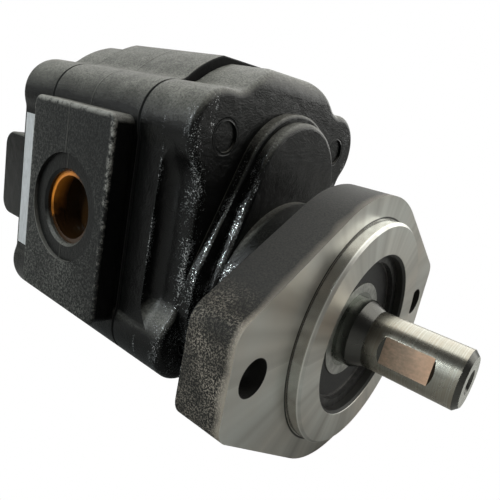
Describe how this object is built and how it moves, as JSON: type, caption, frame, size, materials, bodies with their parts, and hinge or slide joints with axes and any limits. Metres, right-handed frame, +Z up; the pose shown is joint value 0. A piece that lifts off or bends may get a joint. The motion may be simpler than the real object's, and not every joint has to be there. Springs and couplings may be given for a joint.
{
  "type": "hydraulic gear motor",
  "caption": "Cast-iron hydraulic gear motor with a two-bolt flange and pilot, a straight steel shaft with one flat, a gear housing with side ports and a bolted rear cover.",
  "frame": {"origin": "where the shaft axis meets the mounting face of the flange", "axes": "+X along the shaft towards its free end, +Z up from the drive gear to the driven gear, +Y across towards the open port"},
  "size_m": [0.2485, 0.1716, 0.1655],
  "materials": {
    "black_paint": "satin black paint over cast iron",
    "ground_steel": "ground",
    "bronze": "machined bronze",
    "rubber": "matte",
    "bushing_steel": "machined",
    "bearing_steel": "ground",
    "pressed_steel": "plain",
    "dark_steel": "black oxide",
    "amber_plastic": "translucent amber",
    "label_film": "satin pale grey"
  },
  "bodies": {
    "housing": {"shaft_end_cover": "black_paint", "gear_housing": "black_paint", "rear_cover": "black_paint", "front_thrust_plate": "bronze", "rear_thrust_plate": "bronze", "front_section_seal": "rubber", "rear_section_seal": "rubber", "front_drive_bushing": "bushing_steel", "rear_drive_bushing": "bushing_steel", "front_driven_bushing": "bushing_steel", "rear_driven_bushing": "bushing_steel", "bearing_outer_race": "bearing_steel", "bearing_shields": "rubber", "snap_ring": "dark_steel", "shaft_seal_case": "pressed_steel", "shaft_seal_lip": "rubber", "shaft_seal_spring": "pressed_steel", "cap_screws": "dark_steel", "screw_washers": "dark_steel", "dowel_pins": "ground_steel", "port_plug": "amber_plastic", "label_plate": "label_film"},
    "shaft": {"drive_shaft": "ground_steel", "bearing_inner_race": "bearing_steel"},
    "driven_gear": {"driven_gear": "ground_steel"},
    "bearing_cage": {"bearing_cage": "pressed_steel", "bearing_balls": "bearing_steel"}
  },
  "joints": [
    {"name": "shaft_spin", "type": "hinge", "parent": "housing", "child": "shaft", "pos_m": [0, 0, 0], "axis": [1, 0, 0], "continuous": true},
    {"name": "driven_gear_spin", "type": "hinge", "parent": "housing", "child": "driven_gear", "pos_m": [-0.11855, 0, 0.051], "axis": [1, 0, 0], "continuous": true},
    {"name": "cage_spin", "type": "hinge", "parent": "housing", "child": "bearing_cage", "pos_m": [-0.0095, 0, 0], "axis": [1, 0, 0], "continuous": true}
  ],
  "couplings": [
    {"joint": "driven_gear_spin", "follows": "shaft_spin", "ratio": -1},
    {"joint": "cage_spin", "follows": "shaft_spin", "ratio": 0.3972}
  ]
}
